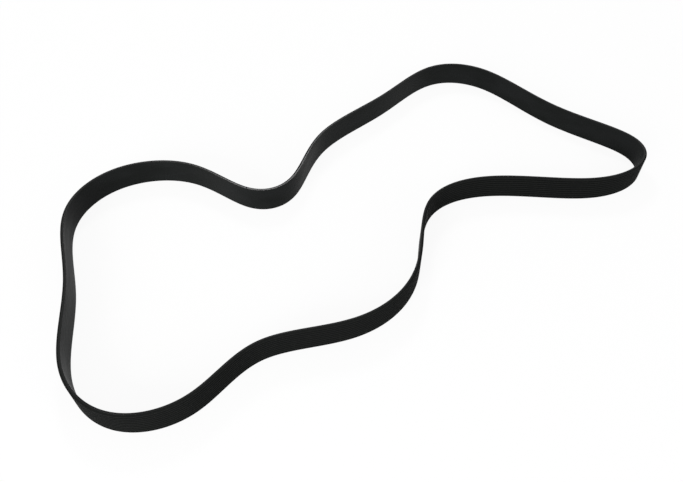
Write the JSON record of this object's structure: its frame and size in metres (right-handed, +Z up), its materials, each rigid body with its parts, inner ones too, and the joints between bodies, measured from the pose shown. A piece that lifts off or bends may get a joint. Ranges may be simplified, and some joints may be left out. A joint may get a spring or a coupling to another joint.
{
  "type": "serpentine belt",
  "caption": "Endless ribbed drive belt of black rubber with V-shaped ribs outside and a smooth back inside, standing on edge in a slack wavy loop.",
  "frame": {"origin": "middle of the loop's outer box, in the plane of the lower cut edge that the belt stands on", "axes": "+Z up across the belt's width, +X along the loop's longest extent, +Y away from the near bend of the loop"},
  "size_m": [0.7872, 0.626, 0.0356],
  "materials": {
    "rubber": "matt black rubber, ground fine on the ribs, with a faint sheen on the back"
  },
  "bodies": {
    "root": {"serpentine_belt": "rubber"}
  },
  "joints": []
}
